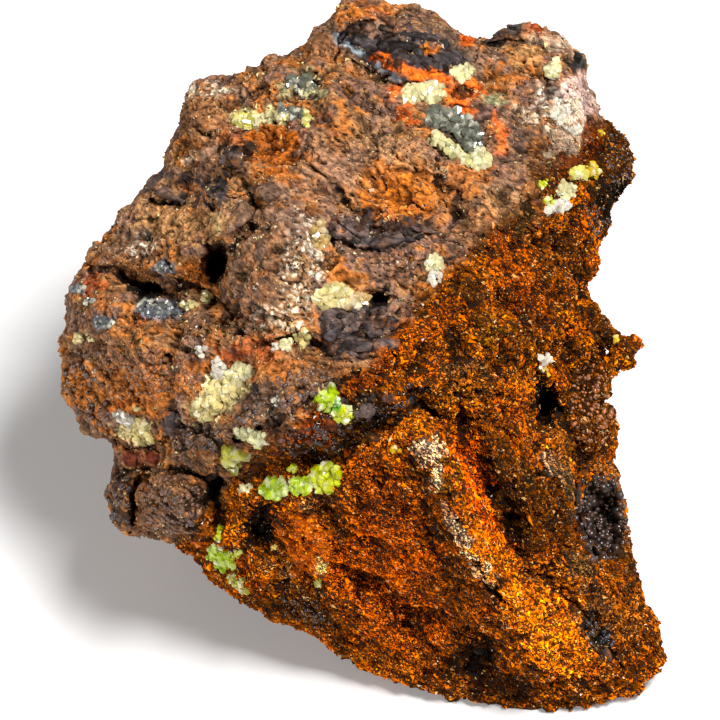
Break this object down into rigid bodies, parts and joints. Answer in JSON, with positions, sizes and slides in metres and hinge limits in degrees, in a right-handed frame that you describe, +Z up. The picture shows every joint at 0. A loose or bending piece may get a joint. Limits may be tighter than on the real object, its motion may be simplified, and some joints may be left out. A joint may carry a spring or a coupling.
{
  "type": "adamite mineral specimen",
  "caption": "Loose mineral specimen: clusters of yellow-green adamite crystals on porous rusty limonite, resting on a flat underside.",
  "frame": {"origin": "on the surface that the specimen rests on, under the middle of its box", "axes": "+Z up, +X to the right and -Y towards the viewer, who looks down at the front from 50 degrees above the horizon"},
  "size_m": [0.0666, 0.0624, 0.0517],
  "materials": {
    "limonite": "matte",
    "dark_knobs": "satin",
    "pale_adamite": "gloss",
    "green_adamite": "gloss"
  },
  "bodies": {
    "root": {"limonite_matrix": "limonite", "dark_knob_crust": "dark_knobs", "adamite_rim": "pale_adamite", "adamite_crest_left": "pale_adamite", "adamite_crest_right": "pale_adamite", "adamite_grey_patch": "pale_adamite", "adamite_shoulder": "pale_adamite", "adamite_centre": "pale_adamite", "adamite_bulge": "pale_adamite", "adamite_slope": "pale_adamite", "adamite_left": "pale_adamite", "adamite_lobe": "pale_adamite", "adamite_block_low": "pale_adamite", "adamite_block_high": "pale_adamite", "adamite_green_high": "green_adamite", "adamite_green_left": "green_adamite", "adamite_green_right": "green_adamite", "adamite_nodule": "green_adamite", "adamite_ear_yellow": "green_adamite", "adamite_ear_cream": "pale_adamite"}
  },
  "joints": []
}
